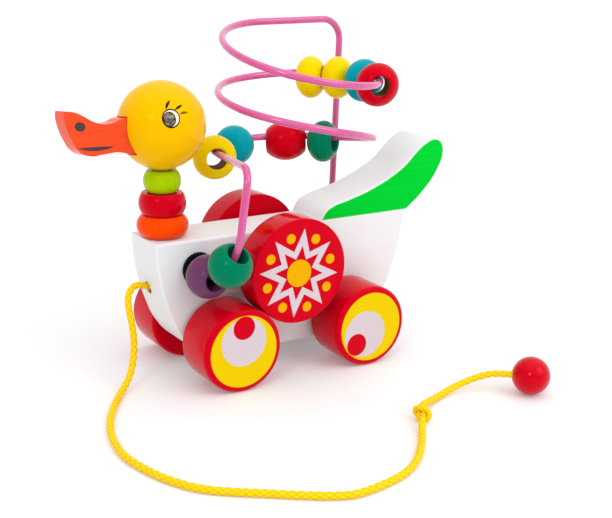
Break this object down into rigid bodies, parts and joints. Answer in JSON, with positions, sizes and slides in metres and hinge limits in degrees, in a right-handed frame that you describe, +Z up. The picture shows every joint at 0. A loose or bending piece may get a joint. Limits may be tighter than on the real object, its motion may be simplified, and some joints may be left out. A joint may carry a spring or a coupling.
{
  "type": "pull-along bead maze toy",
  "caption": "Wooden duck on wheels with a bent-wire bead maze on its back, star-printed discs driven by the wheels, and a pull cord with a ball.",
  "frame": {"origin": "on the floor, at the middle of the toy's box without its cord", "axes": "+X towards the tail, +Y towards the duck's right side, +Z up; the duck faces -X"},
  "size_m": [0.2091, 0.1982, 0.162],
  "materials": {
    "white_paint": "white stain-like paint with faint grain, tail overpainted green",
    "red_paint": "gloss lacquer",
    "yellow_paint": "gloss lacquer",
    "orange_paint": "gloss lacquer",
    "lime_paint": "gloss lacquer",
    "purple_paint": "gloss lacquer",
    "green_paint": "gloss lacquer",
    "teal_paint": "gloss lacquer",
    "pink_coating": "glossy pink coating on steel wire",
    "black_plastic": "matte",
    "birch": "bare dowel",
    "yellow_cord": "braided cord"
  },
  "bodies": {
    "toy": {"body_plank": "white_paint", "neck_dowel": "birch", "head_ball": "yellow_paint", "beak": "orange_paint", "maze_wire": "pink_coating", "wire_socket_left": "black_plastic", "wire_socket_right": "black_plastic", "cord_lead": "yellow_cord", "cord_knot": "yellow_cord", "cord_tail": "yellow_cord", "pull_ball": "red_paint"},
    "front_wheelset": {"front_axle": "birch", "front_wheel_left": "red_paint", "front_wheel_right": "red_paint"},
    "rear_wheelset": {"rear_axle": "birch", "rear_wheel_left": "red_paint", "rear_wheel_right": "red_paint"},
    "disc_left": {"disc_peg_left": "birch", "side_disc_left": "red_paint"},
    "disc_right": {"disc_peg_right": "birch", "side_disc_right": "red_paint"},
    "neck_lower": {"neck_bead_lower": "orange_paint"},
    "neck_middle": {"neck_bead_middle": "red_paint"},
    "neck_upper": {"neck_bead_upper": "lime_paint"},
    "bead_01": {"maze_bead_01": "purple_paint"},
    "bead_02": {"maze_bead_02": "green_paint"},
    "bead_03": {"maze_bead_03": "yellow_paint"},
    "bead_04": {"maze_bead_04": "teal_paint"},
    "bead_05": {"maze_bead_05": "red_paint"},
    "bead_06": {"maze_bead_06": "green_paint"},
    "bead_07": {"maze_bead_07": "yellow_paint"},
    "bead_08": {"maze_bead_08": "yellow_paint"},
    "bead_09": {"maze_bead_09": "teal_paint"},
    "bead_10": {"maze_bead_10": "red_paint"}
  },
  "joints": [
    {"name": "front_wheel_spin", "type": "hinge", "parent": "toy", "child": "front_wheelset", "pos_m": [-0.0312, 0.00269, 0.02], "axis": [0, 1, 0], "continuous": true},
    {"name": "rear_wheel_spin", "type": "hinge", "parent": "toy", "child": "rear_wheelset", "pos_m": [0.0397, 0.00269, 0.02], "axis": [0, 1, 0], "continuous": true},
    {"name": "disc_left_spin", "type": "hinge", "parent": "toy", "child": "disc_left", "pos_m": [-0.0001, -0.0263, 0.05307], "axis": [0, 1, 0], "continuous": true},
    {"name": "disc_right_spin", "type": "hinge", "parent": "toy", "child": "disc_right", "pos_m": [0.00765, 0.02899, 0.05215], "axis": [0, 1, 0], "continuous": true},
    {"name": "neck_lower_spin", "type": "hinge", "parent": "toy", "child": "neck_lower", "pos_m": [-0.05275, 0.00269, 0.0737], "axis": [0, 0, 1], "continuous": true},
    {"name": "neck_middle_spin", "type": "hinge", "parent": "toy", "child": "neck_middle", "pos_m": [-0.05275, 0.00269, 0.0841], "axis": [0, 0, 1], "continuous": true},
    {"name": "neck_upper_spin", "type": "hinge", "parent": "toy", "child": "neck_upper", "pos_m": [-0.05275, 0.00269, 0.0945], "axis": [0, 0, 1], "continuous": true},
    {"name": "bead_01_spin", "type": "hinge", "parent": "toy", "child": "bead_01", "pos_m": [-0.04185, -0.02107, 0.0534], "axis": [0, 1, 0], "continuous": true},
    {"name": "bead_02_slide", "type": "hinge", "parent": "toy", "child": "bead_02", "pos_m": [-0.03785, -0.02183, 0.07623], "axis": [-0.9833, 0, 0.1817], "range_deg": [0, 40]},
    {"name": "bead_03_slide", "type": "hinge", "parent": "toy", "child": "bead_03", "pos_m": [0.01699, 0.00286, 0.10334], "axis": [0.01, -0.0369, -0.9993], "range_deg": [-2, 14]},
    {"name": "bead_04_slide", "type": "hinge", "parent": "toy", "child": "bead_04", "pos_m": [0.01698, 0.00282, 0.10334], "axis": [0.01, -0.0369, -0.9993], "range_deg": [-15, 6.5]},
    {"name": "bead_05_slide", "type": "hinge", "parent": "toy", "child": "bead_05", "pos_m": [0.01698, 0.00253, 0.10335], "axis": [0.01, -0.0369, -0.9993], "range_deg": [-6.5, 0]},
    {"name": "bead_06_slide", "type": "hinge", "parent": "toy", "child": "bead_06", "pos_m": [0.01729, 0.00312, 0.11076], "axis": [-0.1439, -0.15, -0.9782], "range_deg": [0, 25]},
    {"name": "bead_10_slide", "type": "hinge", "parent": "toy", "child": "bead_10", "pos_m": [0.02016, 0.00263, 0.13406], "axis": [0.0556, -0.0149, -0.9983], "range_deg": [-25, 10]},
    {"name": "bead_09_slide", "type": "hinge", "parent": "bead_10", "child": "bead_09", "pos_m": [0.02016, 0.00263, 0.13406], "axis": [0.0556, -0.0149, -0.9983], "range_deg": [-25, 0]},
    {"name": "bead_08_slide", "type": "hinge", "parent": "bead_09", "child": "bead_08", "pos_m": [0.02016, 0.00263, 0.13406], "axis": [0.0556, -0.0149, -0.9983], "range_deg": [-25, 0]},
    {"name": "bead_07_slide", "type": "hinge", "parent": "bead_08", "child": "bead_07", "pos_m": [0.02016, 0.00263, 0.13406], "axis": [0.0556, -0.0149, -0.9983], "range_deg": [-27, 0]}
  ],
  "couplings": [
    {"joint": "disc_left_spin", "follows": "front_wheel_spin", "ratio": -0.79681},
    {"joint": "disc_right_spin", "follows": "rear_wheel_spin", "ratio": -0.79681}
  ]
}
